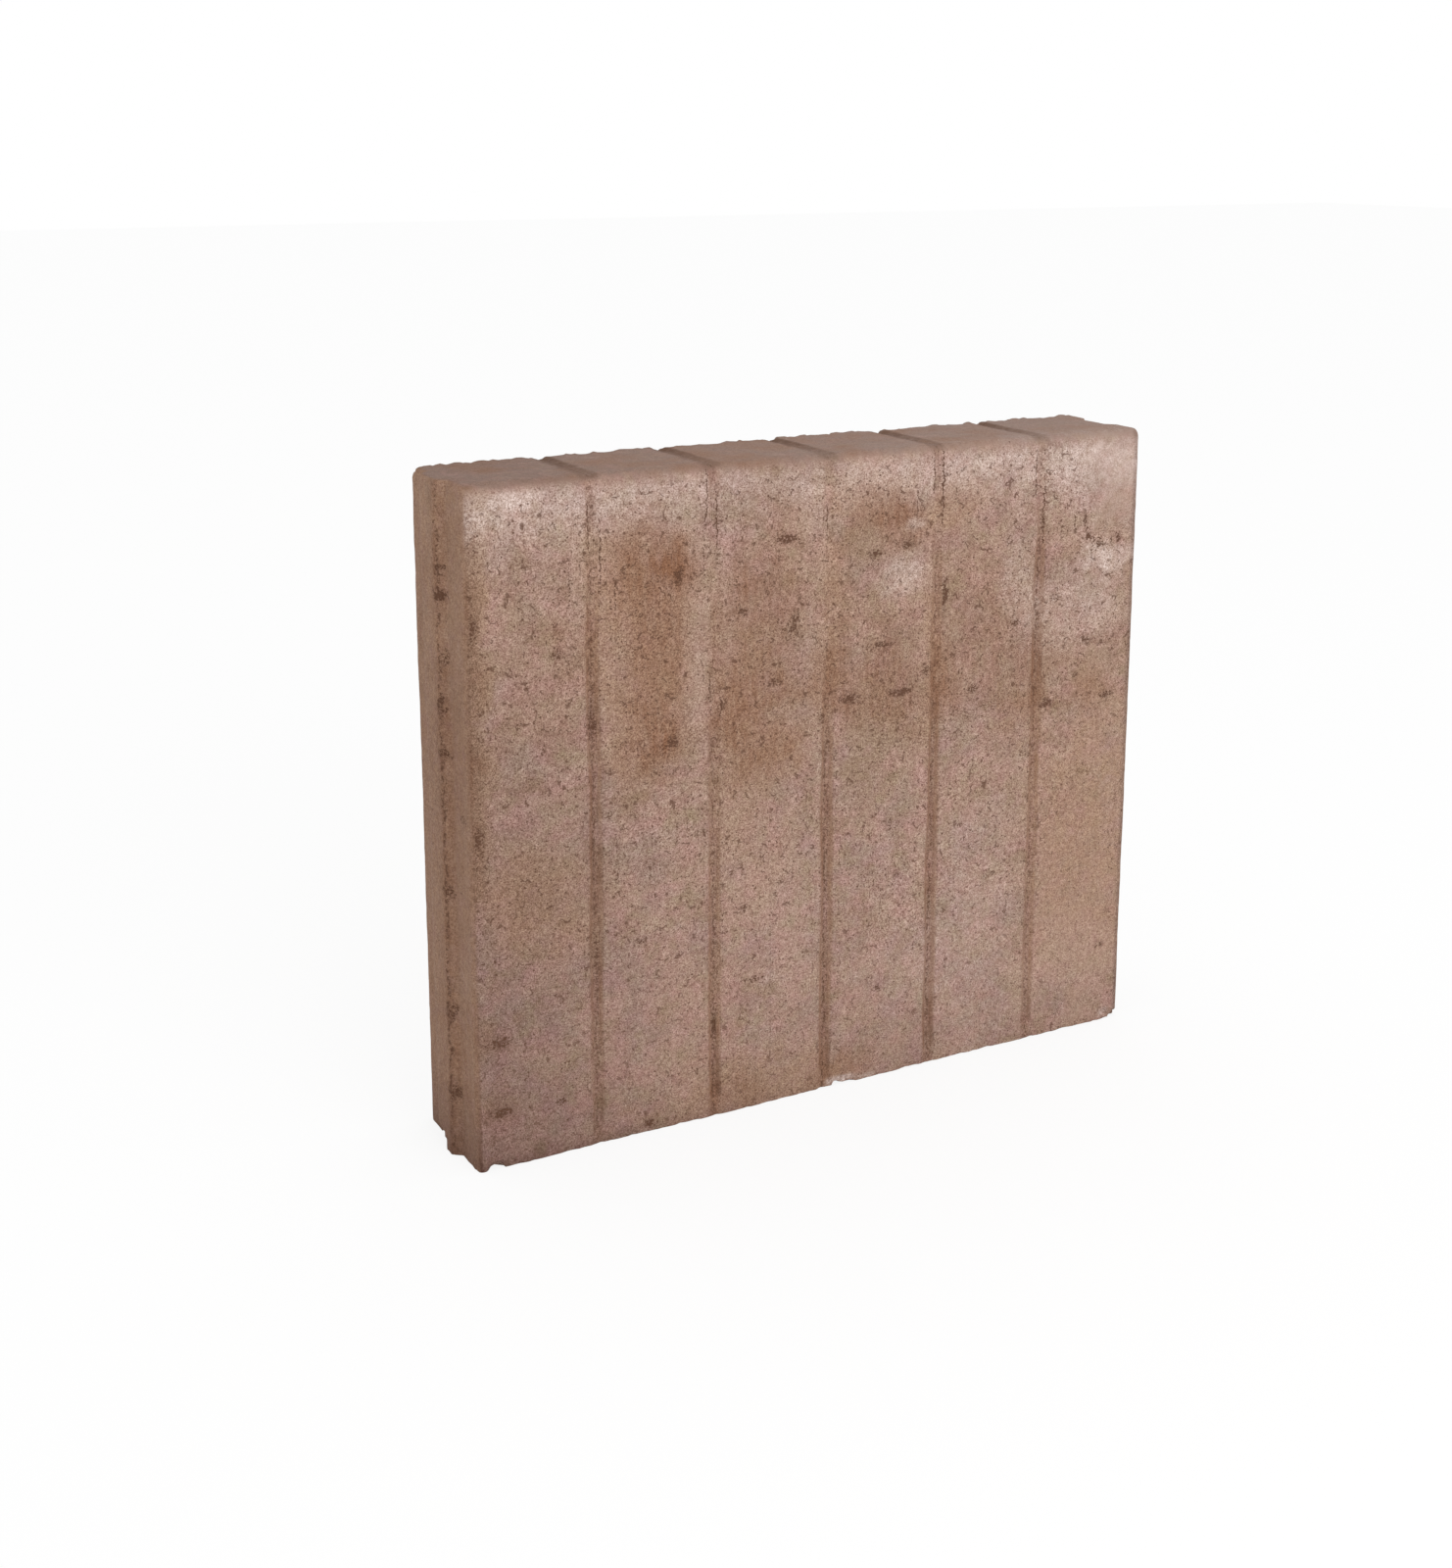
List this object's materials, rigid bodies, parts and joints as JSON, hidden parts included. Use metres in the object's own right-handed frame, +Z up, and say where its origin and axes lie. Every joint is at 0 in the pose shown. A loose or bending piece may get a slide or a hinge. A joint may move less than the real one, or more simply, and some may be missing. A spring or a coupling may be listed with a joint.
{
  "type": "concrete palisade slab",
  "caption": "Upright concrete palisade edging slab cast as a row of posts, with grooves between them, a tongue on one end and a groove in the other.",
  "frame": {"origin": "middle of the bottom of the overall box, tongue included, on the floor that the slab stands on", "axes": "+X along the row of posts towards the end with the groove, +Y from the front face to the rear face, +Z up to the rounded top"},
  "size_m": [0.4654, 0.08, 0.4],
  "materials": {
    "concrete": "raw dry-cast concrete coloured through in heather brown, with sandy speckle, small pores, pale bloom near the top and brown stains"
  },
  "bodies": {
    "root": {"palisade_slab": "concrete"}
  },
  "joints": []
}
